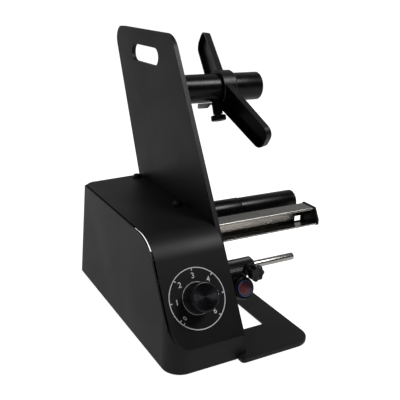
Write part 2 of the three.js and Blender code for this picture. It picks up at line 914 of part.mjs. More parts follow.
// Section corners of the channel's outer side, as [y, z]: the front lip of the top,
// the two back corners, and the front edge of the rising floor.
const peelCorners = {
  topFront: [84.4, 113.5],
  topBack: [105, 113.5],
  floorBack: [105, 89],
  floorFront: [77, 96],
};
const peelWindow = { from: 127.5, to: 136.5, bottom: 92, top: 98.3 }; // in the back wall
const peelScrewPlaces = [
  [92, 101],
  [99, 96],
];

function channelSection() {
  const { topFront, topBack, floorBack, floorFront } = peelCorners;
  const { sheet } = peel;
  const floorSlope = (floorFront[1] - floorBack[1]) / (floorBack[0] - floorFront[0]);
  const insideFloor = (y) => floorBack[1] + sheet + floorSlope * (floorBack[0] - y);
  return roundedOutline([
    [topFront[0], topFront[1] - 2.4],
    [topFront[0] + 1, topFront[1] - 2.4],
    [topFront[0] + sheet, topFront[1] - sheet],
    [topBack[0] - sheet, topBack[1] - sheet],
    [floorBack[0] - sheet, insideFloor(floorBack[0] - sheet)],
    [floorFront[0], insideFloor(floorFront[0])],
    [...floorFront],
    [...floorBack, 1.2],
    [...topBack, 1.2],
    [...topFront, 1.2],
  ]);
}

function peelChannel() {
  const channel = extrude(channelSection(), peel.start, peel.end, alongX, 2);
  const { from, to, bottom, top } = peelWindow;
  const window = block([from, to], [100, 110], [bottom, top]);
  return piece("peel_channel", cut(channel, window), stainlessSteel());
}

function channelEnd(name, from, to, holes) {
  const { topFront, topBack, floorBack, floorFront } = peelCorners;
  const margin = 0.8;
  const outline = roundedOutline([
    [floorFront[0] - margin, floorFront[1] - margin, 1.5],
    [floorBack[0] + margin, floorBack[1] - margin, 1.5],
    [topBack[0] + margin, topBack[1] + margin, 1.5],
    [topFront[0] - margin, topFront[1] + margin, 1.5],
    [floorFront[0] - margin, floorFront[1] + 5, 1],
  ]);
  holes.forEach(([y, z]) => outline.holes.push(roundHole(y, z, 2)));
  return piece(name, extrude(outline, from, to, alongX), blackPlastic());
}

function peelFixings() {
  return peelScrewPlaces.map(([y, z], index) => {
    const placement = new THREE.Matrix4()
      .makeTranslation(-2.7, y, z)
      .multiply(new THREE.Matrix4().makeRotationY(-Math.PI / 2));
    return piece(`peel_screw_${index + 1}`, panHeadScrew(3.4, 2.2, 1.7, 7.3, placement), zincSteel());
  });
}

// ------------------------------------------------------------- the sensor and rod

function guideRod() {
  const { y, z, radius, end } = rod;
  const solid = turned(
    [
      [0, plate.thickness + gap],
      [radius, plate.thickness + gap],
      [radius, end - 0.7],
      [radius - 0.7, end],
      [0, end],
    ],
    onAxis(y, z),
  );
  const thread = barX(y, z, 1.9, 0, 16, 24);
  return piece("guide_rod", cut(solid, thread), stainlessSteel());
}

function rodScrew() {
  const placement = new THREE.Matrix4()
    .makeTranslation(-3, rod.y, rod.z)
    .multiply(new THREE.Matrix4().makeRotationY(-Math.PI / 2));
  return piece("rod_screw", panHeadScrew(3.8, 2.6, 1.6, 14, placement), zincSteel());
}

const sensor = {
  x: 24.4,
  y: 46,
  z: 54.5,
  tilt: THREE.MathUtils.degToRad(20),
  radius: 9,
  length: 54,
  seat: 1.6, // depth of the lens's seat
};
const clamp = { left: 12, right: 46, radius: 10, chamfer: 2.5 };
const eye = { radius: 13, from: -27, to: -9 }; // round the sensor, behind its face
const ringNut = { radius: 12, from: -8.7, to: -1 };
const backNut = { radius: 12.5, from: -32.3, to: -27.3 };
const starKnob = {
  x: 35.8,
  from: 19, // lengths from the rod's axis
  to: 28,
  coreRadius: 7.8,
  collarRadius: 4.5,
  studRadius: 2.5,
  tilt: THREE.MathUtils.degToRad(7),
};

// Local +Z is the way the sensor looks, forward and a little up, from its face.
const sensorPlacement = new THREE.Matrix4()
  .makeTranslation(sensor.x, sensor.y, sensor.z)
  .multiply(new THREE.Matrix4().makeRotationX(Math.PI / 2 - sensor.tilt));

function sensorClamp() {
  const { left, right, radius, chamfer } = clamp;
  const sleeve = turned(
    [
      [0, left],
      [radius, left],
      [radius, right - chamfer],
      [radius - chamfer, right],
      [0, right],
    ],
    onAxis(rod.y, rod.z),
  );
  const eyeRing = bar(eye.radius, eye.from, eye.to, sensorPlacement);
  const web = block([left, 34], [59, 65], [46, rod.z]);
  const studBoss = bar(6.5, 8, 12.5, studPlacement);
  const rodBore = barX(rod.y, rod.z, rod.radius + gap, left - 5, right + 5);
  const sensorBore = bar(sensor.radius + gap, -60, 10, sensorPlacement);
  const studHole = bar(starKnob.studRadius + gap, 0, 20, studPlacement);
  const solid = cut(union(sleeve, eyeRing, web, studBoss), rodBore, sensorBore, studHole);
  return piece("sensor_clamp", solid, blackPlastic());
}

// Local +Z points forward and a little up, from the rod's axis along the knob's stud.
const studPlacement = new THREE.Matrix4()
  .makeTranslation(starKnob.x, rod.y, rod.z)
  .multiply(new THREE.Matrix4().makeRotationX(Math.PI / 2 - starKnob.tilt));

function clampKnob() {
  const { from, to } = starKnob;
  const lobes = 7;
  const lobeOffset = 6.3;
  const lobeRadius = 2.8;
  const core = bar(starKnob.coreRadius, from, to, studPlacement, 28);
  const collar = bar(starKnob.collarRadius, from - 0.6, from + 1, studPlacement);
  const fingers = [];
  for (let index = 0; index < lobes; index += 1) {
    const angle = ((index + 0.5) / lobes) * Math.PI * 2;
    const around = new THREE.Matrix4()
      .makeRotationZ(angle)
      .multiply(new THREE.Matrix4().makeTranslation(lobeOffset, 0, 0));
    const placement = studPlacement.clone().multiply(around);
    fingers.push(bar(lobeRadius, from + 1, to - 0.8, placement, 10));
  }
  const studHole = bar(starKnob.studRadius + 0.15, from - 2, to - 3, studPlacement);
  const stud = bar(starKnob.studRadius, rod.radius + 0.5, to - 3.3, studPlacement);
  return [
    piece("star_knob", cut(union(core, collar, ...fingers), studHole), blackPlastic()),
    piece("star_knob_stud", stud, zincSteel()),
  ];
}

function lineSensor() {
  const { radius, length, seat } = sensor;
  const back = { radius: 5, length: 6, shoulder: 8 };
  const barrel = turned([
    [0, -length],
    [back.radius, -length],
    [back.radius, back.length - length],
    [radius - 1, back.shoulder - length],
    [radius, back.shoulder + 1 - length],
    [radius, 0],
    [radius - 0.9, 0],
    [radius - 0.9, -seat],
    [0, -seat],
  ]);
  const lens = turned([
    [0, -seat + gap],
    [radius - 1.2, -seat + gap],
    [radius - 1.2, -0.3],
    [radius - 2, 0.1],
    [0, 0.5],
  ]);
  const threaded = (from, to) => bar(radius + gap, from - 1, to + 1);
  const hexagon = bar(backNut.radius, backNut.from, backNut.to, asDrawn, 6);
  const ring = turned([
    [0, ringNut.from],
    [ringNut.radius, ringNut.from],
    [ringNut.radius, ringNut.to - 2],
    [ringNut.radius - 1, ringNut.to],
    [0, ringNut.to],
  ]);
  const group = assembly(
    piece("sensor_barrel", barrel, blackPlastic()),
    piece("sensor_lens", lens, redLens()),
    piece("sensor_front_ring", cut(ring, threaded(ringNut.from, ringNut.to)), blackPlastic()),
    piece("sensor_back_nut", cut(hexagon, threaded(backNut.from, backNut.to)), blackPlastic()),
  );
  group.position.set(sensor.x, sensor.y, sensor.z);
  group.rotation.x = Math.PI / 2 - sensor.tilt;
  return group;
}

// ---------------------------------------------------------------- the whole machine

const standing = assembly(basePlate(), ...rubberFeet(), sidePlate(), ...plateScrews());
const housingUnit = assembly(
  housingWall(),
  housingCover(),
  ...coverScrews(),
  powerInlet(),
  dialGroup(),
  controlBoard(),
);
const driveTrain = assembly(
  motorBracket(),
  ...gearMotor(),
  ...drivePulley(),
  driveBelt(),
  bearingBlock(),
  ...rollerBearings(),
  ...windingRoller(),
);
const supplyShaft = assembly(
  supplyAxle(),
  axleCirclip(),
  brakeSpring(),
  brakeWasher(),
  ...supplyTube(),
  rollGuide(),
  guideThumbScrew(),
  guideLeaf(),
);
const labelPath = assembly(
  peelChannel(),
  channelEnd("peel_mount_plate", plate.thickness + gap, peel.start - gap, peelScrewPlaces),
  channelEnd("peel_end_cap", peel.end + gap, peel.end + 3, []),
  ...peelFixings(),
  guideRod(),
  rodScrew(),
  sensorClamp(),
  ...clampKnob(),
  lineSensor(),
);

const machine = assembly(standing, housingUnit, driveTrain, supplyShaft, labelPath);
machine.updateMatrixWorld(true);
const bounds = new THREE.Box3().setFromObject(machine);
const middle = bounds.getCenter(new THREE.Vector3());
machine.position.set(-middle.x, -middle.y, -bounds.min.z);

const winder = new THREE.Group();
winder.add(machine);

export default winder;
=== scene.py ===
import json
import math

import bmesh
import bpy
from mathutils import Matrix, Vector


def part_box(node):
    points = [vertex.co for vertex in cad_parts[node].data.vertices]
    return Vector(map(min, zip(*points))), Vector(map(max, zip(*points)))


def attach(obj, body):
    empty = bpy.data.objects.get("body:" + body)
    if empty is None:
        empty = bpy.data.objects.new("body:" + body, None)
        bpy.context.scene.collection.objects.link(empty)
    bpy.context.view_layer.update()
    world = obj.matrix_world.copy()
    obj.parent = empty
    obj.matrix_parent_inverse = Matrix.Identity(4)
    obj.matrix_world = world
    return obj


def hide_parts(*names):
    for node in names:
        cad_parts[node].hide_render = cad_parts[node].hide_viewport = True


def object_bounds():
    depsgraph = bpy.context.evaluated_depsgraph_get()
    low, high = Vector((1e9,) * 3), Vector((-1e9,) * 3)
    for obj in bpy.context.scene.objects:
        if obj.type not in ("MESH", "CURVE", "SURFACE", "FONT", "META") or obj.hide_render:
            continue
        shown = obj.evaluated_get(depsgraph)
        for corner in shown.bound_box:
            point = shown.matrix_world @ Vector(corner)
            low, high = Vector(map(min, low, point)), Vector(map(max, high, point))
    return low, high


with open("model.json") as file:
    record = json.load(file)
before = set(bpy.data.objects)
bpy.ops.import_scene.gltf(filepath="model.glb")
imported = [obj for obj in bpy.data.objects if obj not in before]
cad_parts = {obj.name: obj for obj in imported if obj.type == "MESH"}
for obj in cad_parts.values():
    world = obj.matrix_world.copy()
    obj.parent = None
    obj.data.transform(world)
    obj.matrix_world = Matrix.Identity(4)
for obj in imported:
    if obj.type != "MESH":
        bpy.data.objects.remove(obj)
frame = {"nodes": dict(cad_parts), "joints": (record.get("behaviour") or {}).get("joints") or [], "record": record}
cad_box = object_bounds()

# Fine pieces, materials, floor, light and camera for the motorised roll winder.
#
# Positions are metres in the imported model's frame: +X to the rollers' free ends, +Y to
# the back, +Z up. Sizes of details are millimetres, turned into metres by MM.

MM = 0.001
FINE = 128  # sides of a large round piece
SMALL = 64  # sides of a small one
SHARP = math.radians(32)  # edges sharper than this stay sharp

# ------------------------------------------------------------------ places in the frame

base_low, base_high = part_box("base_plate")
ORIGIN = Vector((base_high.x - 83 * MM, base_low.y, base_low.z))
JOINTS = {joint["name"]: joint for joint in frame["joints"]}


def place(x, y, z):
    """A point given in millimetres from the foot of the side plate's left face."""
    return ORIGIN + Vector((x, y, z)) * MM


def middle(node):
    low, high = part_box(node)
    return (low + high) / 2


def facing(point, direction, across=(1, 0, 0)):
    """A placement at point, with local Z along direction and local X near across."""
    z = Vector(direction).normalized()
    y = z.cross(Vector(across)).normalized()
    x = y.cross(z)
    turn = Matrix((x, y, z)).transposed().to_4x4()
    return Matrix.Translation(Vector(point)) @ turn


def along_x(node):
    """Local Z runs along the node's axis, from x = 0 of the side plate's left face."""
    centre = middle(node)
    return facing((ORIGIN.x, centre.y, centre.z), (1, 0, 0), (0, 1, 0))


def joint_facing(name, flip=1):
    joint = JOINTS[name]
    return facing(joint["pos_m"], Vector(joint["axis"]) * flip)


# ----------------------------------------------------------------------- mesh building


def finished(name, bm, placement=Matrix.Identity(4)):
    """An object from a bmesh, smooth across its shallow edges."""
    bmesh.ops.recalc_face_normals(bm, faces=bm.faces)
    mesh = bpy.data.meshes.new(name)
    bm.to_mesh(mesh)
    bm.free()
    smooth(mesh)
    obj = bpy.data.objects.new(name, mesh)
    bpy.context.scene.collection.objects.link(obj)
    obj.matrix_world = placement
    return obj


def smooth(mesh, angle=SHARP):
    mesh.shade_smooth()
    mesh.set_sharp_from_angle(angle=angle)


def fillet(corners, steps=6, closed=True):
    """Corner points as (x, y, radius), each rounded by its own radius."""
    points = []
    count = len(corners)
    for index, corner in enumerate(corners):
        x, y = corner[:2]
        radius = corner[2] if len(corner) > 2 else 0
        at_end = not closed and index in (0, count - 1)
        if radius <= 0 or at_end:
            points.append((x, y))
            continue
        here = Vector((x, y))
        before = (Vector(corners[index - 1][:2]) - here).normalized()
        after = (Vector(corners[(index + 1) % count][:2]) - here).normalized()
        half = before.angle(after) / 2
        start = here + before * radius / math.tan(half)
        end = here + after * radius / math.tan(half)
        centre = here + (before + after).normalized() * radius / math.sin(half)
        spoke = start - centre
        sweep = spoke.angle_signed(end - centre)
        for step in range(steps + 1):
            angle = -sweep * step / steps
            cosine = math.cos(angle)
            sine = math.sin(angle)
            turned = (spoke.x * cosine - spoke.y * sine, spoke.x * sine + spoke.y * cosine)
            points.append((centre.x + turned[0], centre.y + turned[1]))
    return points


def lathe(name, profile, placement, sides=FINE, ring=False, waves=0, depth=None):
    """A solid of revolution about local Z from (radius, z) points in millimetres.

    With waves, the radius swings that many times round the axis, by depth(radius, z).
    """
    bm = bmesh.new()
    rings = []
    for radius, z in profile:
        if radius < 1e-6:
            rings.append([bm.verts.new((0, 0, z * MM))])
            continue
        swing = depth(radius, z) if waves else 0
        turn = []
        for side in range(sides):
            angle = 2 * math.pi * side / sides
            reach = (radius + swing * math.cos(waves * angle)) * MM
            turn.append(bm.verts.new((reach * math.cos(angle), reach * math.sin(angle), z * MM)))
        rings.append(turn)
    pairs = list(zip(rings, rings[1:]))
    if ring:
        pairs.append((rings[-1], rings[0]))
    for lower, upper in pairs:
        for side in range(sides):
            after = (side + 1) % sides
            corners = [
                lower[side % len(lower)],
                lower[after % len(lower)],
                upper[after % len(upper)],
                upper[side % len(upper)],
            ]
            corners = list(dict.fromkeys(corners))
            if len(corners) > 2:
                bm.faces.new(corners)
    return finished(name, bm, placement)


def rod_profile(radius, start, end, chamfer=0.6):
    corners = [(0, start), (radius, start, chamfer), (radius, end, chamfer), (0, end)]
    return fillet(corners, 4, False)


def tube_profile(outer, inner, start, end, chamfer=0.5):
    corners = [(inner, start), (outer, start, chamfer), (outer, end, chamfer), (inner, end)]
    return fillet(corners, 4)


def prism(name, outline, start, end, placement=Matrix.Identity(4)):
    """An outline in local XY, in millimetres, drawn out along local Z."""
    bm = bmesh.new()
    lower = [bm.verts.new((x * MM, y * MM, start * MM)) for x, y in outline]
    upper = [bm.verts.new((x * MM, y * MM, end * MM)) for x, y in outline]
    bm.faces.new(lower)
    bm.faces.new(upper)
    count = len(outline)
    for index in range(count):
        after = (index + 1) % count
        bm.faces.new([lower[index], lower[after], upper[after], upper[index]])
    return finished(name, bm, placement)


def block(name, low, high, placement=Matrix.Identity(4)):
    outline = [(low[0], low[1]), (high[0], low[1]), (high[0], high[1]), (low[0], high[1])]
    return prism(name, outline, low[2], high[2], placement)


def circle(radius, x=0, y=0, sides=FINE):
    angles = [2 * math.pi * side / sides for side in range(sides)]
    return [(x + radius * math.cos(angle), y + radius * math.sin(angle)) for angle in angles]


def apply_modifiers(obj):
    graph = bpy.context.evaluated_depsgraph_get()
    mesh = bpy.data.meshes.new_from_object(obj.evaluated_get(graph))
    obj.modifiers.clear()
    obj.data = mesh
    return obj


def combine(obj, operation, *tools):
    """Joins the tools to obj (UNION) or cuts them out of it (DIFFERENCE)."""
    for tool in tools:
        modifier = obj.modifiers.new("combine", "BOOLEAN")
        modifier.operation = operation
        modifier.solver = "EXACT"
        modifier.object = tool
    bpy.context.view_layer.update()
    apply_modifiers(obj)
    for tool in tools:
        bpy.data.objects.remove(tool)
    smooth(obj.data)
    return obj


def eased(obj, width, segments=3, angle=SHARP):
    """Rounds the sharp edges by width millimetres."""
    modifier = obj.modifiers.new("eased", "BEVEL")
    modifier.width = width * MM
    modifier.segments = segments
    modifier.limit_method = "ANGLE"
    modifier.angle_limit = angle
    modifier.miter_outer = "MITER_ARC"
    modifier.use_clamp_overlap = True
    modifier.harden_normals = True
    weighted = obj.modifiers.new("weighted", "WEIGHTED_NORMAL")
    weighted.keep_sharp = True
    weighted.weight = 100
    bpy.context.view_layer.update()
    apply_modifiers(obj)
    return obj


def refined(node, name, width):
    """A copy of a CAD node with clean flats and eased edges."""
    bm = bmesh.new()
    bm.from_mesh(frame["nodes"][node].data)
    bmesh.ops.remove_doubles(bm, verts=bm.verts, dist=1e-6)
    bmesh.ops.dissolve_limit(bm, angle_limit=math.radians(0.8), verts=bm.verts, edges=bm.edges)
    return eased(finished(name, bm), width)


def dress(obj, material, body, slot, *nodes):
    """Gives a piece its material and body, and hides the CAD nodes that it stands for. The slot argument is not
    used.
    """
    obj.data.materials.clear()
    obj.data.materials.append(material)
    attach(obj, body)
    if nodes:
        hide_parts(*nodes)
    return obj


# --------------------------------------------------------------------------- materials


class Surface:
    """A material's node tree, with short calls for the nodes that it needs."""

    def __init__(self, name, color, roughness, metallic=0.0, specular=0.5):
        self.material = bpy.data.materials.new(name)
        self.material.use_nodes = True
        self.tree = self.material.node_tree
        self.shader = self.tree.nodes["Principled BSDF"]
        self.shader.inputs["Base Color"].default_value = (*color, 1)
        self.shader.inputs["Roughness"].default_value = roughness
        self.shader.inputs["Metallic"].default_value = metallic
        self.shader.inputs["Specular IOR Level"].default_value = specular
        self.color = color
        self.roughness = roughness
        self.height = None

    def node(self, kind, **settings):
        node = self.tree.nodes.new(kind)
        for key, value in settings.items():
            setattr(node, key, value)
        return node

    def link(self, output, target):
        self.tree.links.new(output, target)

    def coordinates(self, stretch=(1, 1, 1)):
        source = self.node("ShaderNodeTexCoord")
        mapping = self.node("ShaderNodeMapping")
        mapping.inputs["Scale"].default_value = stretch
        self.link(source.outputs["Object"], mapping.inputs["Vector"])
        return mapping.outputs["Vector"]

    def noise(self, scale, detail=3.0, stretch=(1, 1, 1), distortion=0.0):
        node = self.node("ShaderNodeTexNoise")
        node.inputs["Scale"].default_value = scale
        node.inputs["Detail"].default_value = detail
        node.inputs["Distortion"].default_value = distortion
        self.link(self.coordinates(stretch), node.inputs["Vector"])
        return node.outputs["Fac"]

    def spread(self, value, low, high, start=0.3, end=0.7):
        """Maps a noise value from start..end to low..high."""
        node = self.node("ShaderNodeMapRange")
        node.inputs["From Min"].default_value = start
        node.inputs["From Max"].default_value = end
        node.inputs["To Min"].default_value = low
        node.inputs["To Max"].default_value = high
        self.link(value, node.inputs["Value"])
        return node.outputs["Result"]

    def math(self, operation, first, second):
        node = self.node("ShaderNodeMath", operation=operation)
        for index, value in enumerate((first, second)):
            if isinstance(value, (int, float)):
                node.inputs[index].default_value = value
            else:
                self.link(value, node.inputs[index])
        return node.outputs["Value"]

    def mix(self, factor, first, second):
        """A colour between two, as a linked output; each is a colour or an output."""
        node = self.node("ShaderNodeMix", data_type="RGBA")
        self.link(factor, node.inputs["Factor"])
        for socket, value in ((node.inputs[6], first), (node.inputs[7], second)):
            if isinstance(value, tuple):
                socket.default_value = (*value, 1)
            else:
                self.link(value, socket)
        return node.outputs[2]

    def use_color(self, output):
        self.link(output, self.shader.inputs["Base Color"])

    def use_roughness(self, output):
        self.link(output, self.shader.inputs["Roughness"])

    def bump(self, height, strength, distance):
        """Adds a layer of relief; distance is in millimetres."""
        node = self.node("ShaderNodeBump")
        node.inputs["Strength"].default_value = strength
        node.inputs["Distance"].default_value = distance * MM
        self.link(height, node.inputs["Height"])
        if self.height is not None:
            self.link(self.height, node.inputs["Normal"])
        self.height = node.outputs["Normal"]
        self.link(self.height, self.shader.inputs["Normal"])

    def edges(self, radius, low=0.93, high=0.995):
        """1 on edges of that radius in millimetres, 0 on flats."""
        bevel = self.node("ShaderNodeBevel", samples=4)
        bevel.inputs["Radius"].default_value = radius * MM
        geometry = self.node("ShaderNodeNewGeometry")
        dot = self.node("ShaderNodeVectorMath", operation="DOT_PRODUCT")
        self.link(bevel.outputs["Normal"], dot.inputs[0])
        self.link(geometry.outputs["Normal"], dot.inputs[1])
        return self.spread(dot.outputs["Value"], 1, 0, low, high)


def brighter(color, factor):
    return tuple(min(1.0, channel * factor) for channel in color)


def powder_coat(name, color, roughness, specular=0.5):
    """Satin powder coat: orange peel, fine grain, faint smudges and rubbed edges."""
    surface = Surface(name, color, roughness, 0.0, specular)
    smudge = surface.noise(14, 4, distortion=0.6)
    grain = surface.noise(3800, 2)
    patches = surface.spread(surface.noise(160, 4), 0, 1)
    worn = surface.math("MULTIPLY", surface.edges(0.7), patches)
    tone = surface.mix(surface.spread(smudge, 0, 1), brighter(color, 0.85), brighter(color, 1.2))
    speckled = surface.mix(surface.spread(grain, 0, 0.35, 0.55, 0.8), tone, brighter(color, 2.4))
    rubbed = surface.math("MULTIPLY", worn, 0.5)
    surface.use_color(surface.mix(rubbed, speckled, brighter(color, 4)))
    rough = surface.spread(smudge, roughness - 0.04, roughness + 0.05)
    surface.use_roughness(surface.math("SUBTRACT", rough, surface.math("MULTIPLY", worn, 0.12)))
    surface.bump(surface.noise(900, 2), 0.35, 0.035)
    surface.bump(grain, 0.3, 0.02)
    return surface.material


def gloss_paint(name, color, roughness):
    """Smooth enamel with a faint waviness and fine handling marks."""
    surface = Surface(name, color, roughness, 0.0, 0.2)
    smudge = surface.noise(40, 4, (0.4, 1, 1))
    surface.use_color(
        surface.mix(surface.spread(smudge, 0, 1), brighter(color, 0.8), brighter(color, 1.3))
    )
    surface.use_roughness(surface.spread(smudge, roughness - 0.04, roughness + 0.07))
    surface.bump(surface.noise(120, 2), 0.03, 0.01)
    surface.bump(surface.noise(1800, 3, (1, 0.15, 1)), 0.03, 0.002)
    return surface.material


def plastic(name, color, roughness, grain=2600, depth=0.02):
    """Moulded plastic with a spark-eroded grain."""
    surface = Surface(name, color, roughness, 0.0, 0.3)
    cloud = surface.noise(60, 3)
    worn = surface.edges(0.5)
    tone = surface.mix(surface.spread(cloud, 0, 1), brighter(color, 0.85), brighter(color, 1.2))
    surface.use_color(surface.mix(surface.math("MULTIPLY", worn, 0.25), tone, brighter(color, 3)))
    surface.use_roughness(surface.spread(cloud, roughness - 0.05, roughness + 0.06))
    surface.bump(surface.noise(grain, 3), 0.35, depth)
    return surface.material


def rubber(name, color, roughness):
    surface = Surface(name, color, roughness, 0.0, 0.3)
    dust = surface.noise(220, 5)
    surface.use_color(
        surface.mix(surface.spread(dust, 0, 1, 0.45, 0.8), color, brighter(color, 2.2))
    )
    surface.use_roughness(surface.spread(dust, roughness - 0.05, 1.0))
    surface.bump(surface.noise(2200, 3), 0.4, 0.03)
    return surface.material


def brushed(name, color, roughness, stretch, anisotropy=0.6):
    """Metal with fine lines; stretch is small along the lines."""
    surface = Surface(name, color, roughness, 1.0)
    surface.shader.inputs["Anisotropic"].default_value = anisotropy
    lines = surface.noise(1500, 3, stretch)
    cloud = surface.noise(70, 4, stretch)
    tone = surface.mix(surface.spread(lines, 0, 1), brighter(color, 0.72), brighter(color, 1.12))
    surface.use_color(
        surface.mix(surface.spread(cloud, 0, 0.4, 0.4, 0.75), tone, brighter(color, 0.6))
    )
    surface.use_roughness(surface.spread(lines, roughness - 0.06, roughness + 0.1))
    surface.bump(lines, 0.25, 0.01)
    return surface.material


def cast_metal(name, color, roughness, metallic=1.0):
    """Plated or plain metal with a soft mottle."""
    surface = Surface(name, color, roughness, metallic)
    mottle = surface.noise(320, 4)
    surface.use_color(
        surface.mix(surface.spread(mottle, 0, 1), brighter(color, 0.75), brighter(color, 1.15))
    )
    surface.use_roughness(surface.spread(mottle, roughness - 0.07, roughness + 0.1))
    surface.bump(surface.noise(1400, 3), 0.2, 0.01)
    return surface.material


def turned_metal(name, color, roughness, metallic, rings_per_mm=5):
    """A face turned on a lathe about local Z: fine rings that catch light as a fan."""
    surface = Surface(name, color, roughness, metallic)
    surface.shader.inputs["Anisotropic"].default_value = 0.85
    tangent = surface.node("ShaderNodeTangent", direction_type="RADIAL", axis="Z")
    surface.link(tangent.outputs["Tangent"], surface.shader.inputs["Tangent"])
    flat = surface.node("ShaderNodeVectorMath", operation="LENGTH")
    surface.link(surface.coordinates((1, 1, 0)), flat.inputs[0])
    phase = surface.math("MULTIPLY", flat.outputs["Value"], rings_per_mm * 2 * math.pi / MM)
    rings = surface.math("SINE", phase, 0)
    cloud = surface.noise(300, 3)
    surface.use_color(
        surface.mix(surface.spread(cloud, 0, 1), brighter(color, 0.8), brighter(color, 1.25))
    )
    surface.use_roughness(surface.spread(cloud, roughness - 0.04, roughness + 0.06))
    surface.bump(rings, 0.2, 0.01)
    return surface.material


def print_ink(name, color):
    """Screen-printed ink, a little thin in places."""
    surface = Surface(name, color, 0.55)
    thin = surface.noise(1500, 3)
    surface.use_color(
        surface.mix(surface.spread(thin, 0, 0.4, 0.5, 0.8), color, brighter(color, 0.6))
    )
    surface.use_roughness(surface.spread(thin, 0.5, 0.65))
    surface.bump(thin, 0.15, 0.01)
    return surface.material


def lens_filter(name, color):
    """A dull red filter over a fine moulded pattern of rings."""
    surface = Surface(name, color, 0.28)
    flat = surface.node("ShaderNodeVectorMath", operation="LENGTH")
    surface.link(surface.coordinates((1, 1, 0)), flat.inputs[0])
    rings = surface.math("SINE", surface.math("MULTIPLY", flat.outputs["Value"], 9000), 0)
    haze = surface.noise(420, 3)
    tone = surface.mix(surface.spread(haze, 0, 1), brighter(color, 0.8), brighter(color, 1.3))
    centre = surface.spread(flat.outputs["Value"], 0.5, 0, 0, 6 * MM)
    surface.use_color(surface.mix(centre, tone, brighter(color, 1.9)))
    surface.use_roughness(surface.spread(haze, 0.22, 0.36))
    surface.bump(rings, 0.12, 0.02)
    return surface.material


PAINT = powder_coat("satin_black_powder_coat", (0.0065, 0.0065, 0.0074), 0.44, 0.22)
TUBE = gloss_paint("gloss_black_enamel", (0.0022, 0.0022, 0.003), 0.27)
MOULDED = plastic("moulded_black_plastic", (0.0035, 0.0035, 0.0045), 0.36)
RUBBER = rubber("black_rubber", (0.013, 0.013, 0.013), 0.85)
KNOB_FACE = turned_metal("turned_black_anodised", (0.016, 0.0165, 0.02), 0.3, 0.75)
KNOB_SIDE = plastic("knob_side", (0.006, 0.006, 0.0075), 0.33, 1800, 0.01)
STAINLESS = brushed("brushed_stainless", (0.3, 0.288, 0.27), 0.24, (0.012, 1, 1))
POLISHED = brushed("polished_rod_steel", (0.46, 0.45, 0.425), 0.2, (1, 1, 0.02), 0.4)
ZINC = cast_metal("zinc_plated_steel", (0.45, 0.45, 0.44), 0.38)
BLACK_STEEL = cast_metal("black_oxide_steel", (0.03, 0.03, 0.032), 0.36, 0.8)
ALUMINIUM = cast_metal("machined_aluminium", (0.6, 0.61, 0.62), 0.34)
BRONZE = cast_metal("sintered_bronze", (0.42, 0.27, 0.12), 0.42)
BOARD = plastic("green_solder_mask", (0.02, 0.12, 0.04), 0.4)
INK = print_ink("white_ink", (0.68, 0.68, 0.68))
BLUE = plastic("blue_ring_plastic", (0.035, 0.07, 0.17), 0.35)
LENS = lens_filter("dull_red_filter", (0.1, 0.022, 0.027))

SLOT_MATERIAL = {
    "satin_black_paint": PAINT,
    "gloss_black_paint": TUBE,
    "black_anodised": KNOB_SIDE,
    "black_plastic": MOULDED,
    "black_rubber": RUBBER,
    "stainless_steel": STAINLESS,
    "zinc_steel": ZINC,
    "dark_steel": BLACK_STEEL,
    "aluminium": ALUMINIUM,
    "bronze": BRONZE,
    "circuit_board": BOARD,
    "red_lens": LENS,
}


def dress_cad_nodes():
    """Every CAD node takes its slot's material; the pieces below replace what shows."""
    for part in frame["record"]["subparts"]:
        node = frame["nodes"][part["node"]]
        node.data.materials.clear()
        node.data.materials.append(SLOT_MATERIAL[part["material_slot"]])


# ------------------------------------------------------------------ sheet metal and feet


def sheet_metal():
    sheets = {
        "base_plate": ("base_sheet", 0.4, PAINT),
        "side_plate": ("side_plate_sheet", 0.5, PAINT),
        "housing_wall": ("housing_wall_sheet", 0.25, PAINT),
        "housing_cover": ("housing_cover_sheet", 0.3, PAINT),
    }
    for node, (name, width, material) in sheets.items():
        dress(refined(node, name, width), material, "frame", "satin_black_paint", node)


def feet():
    for node in [name for name in frame["nodes"] if name.startswith("rubber_foot")]:
        low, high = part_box(node)
        centre = (low + high) / 2
        radius = (high.x - low.x) / 2 / MM
        height = (high.z - low.z) / MM
        profile = fillet([(0, 0.1), (radius - 1.6, 0.1), (radius - 1.2, 0), (radius, 0, 0.4),
                          (radius - 0.4, height), (0, height)], 4, False)
        placement = Matrix.Translation((centre.x, centre.y, low.z))
        pad = lathe(node.replace("rubber_foot", "foot_pad"), profile, placement, SMALL)
        dress(pad, RUBBER, "frame", "black_rubber", node)


def cover_screws():
    """Domed button heads on a broad flange, with a hexagonal recess."""
    for index in (1, 2):
        node = f"cover_screw_{index}"
        low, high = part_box(node)
        centre = (low + high) / 2
        placement = Matrix.Translation((centre.x, centre.y, high.z))
        head = lathe(
            f"cover_screw_head_{index}",
            fillet(
                [(0, -9.5), (1.4, -9.5, 0.3), (1.4, -3.55), (6, -3.55, 0.2), (6, -2.6, 0.4),
                 (4.7, -2.3, 0.3), (4.3, -0.7, 0.9), (2.4, 0, 0.6), (0, 0)],
                5,
                False,
            ),
            placement,
            SMALL,
        )
        recess = prism("recess", circle(1.7, sides=6), -1.6, 1, placement)
        combine(head, "DIFFERENCE", recess)
        dress(head, BLACK_STEEL, "frame", "dark_steel", node)


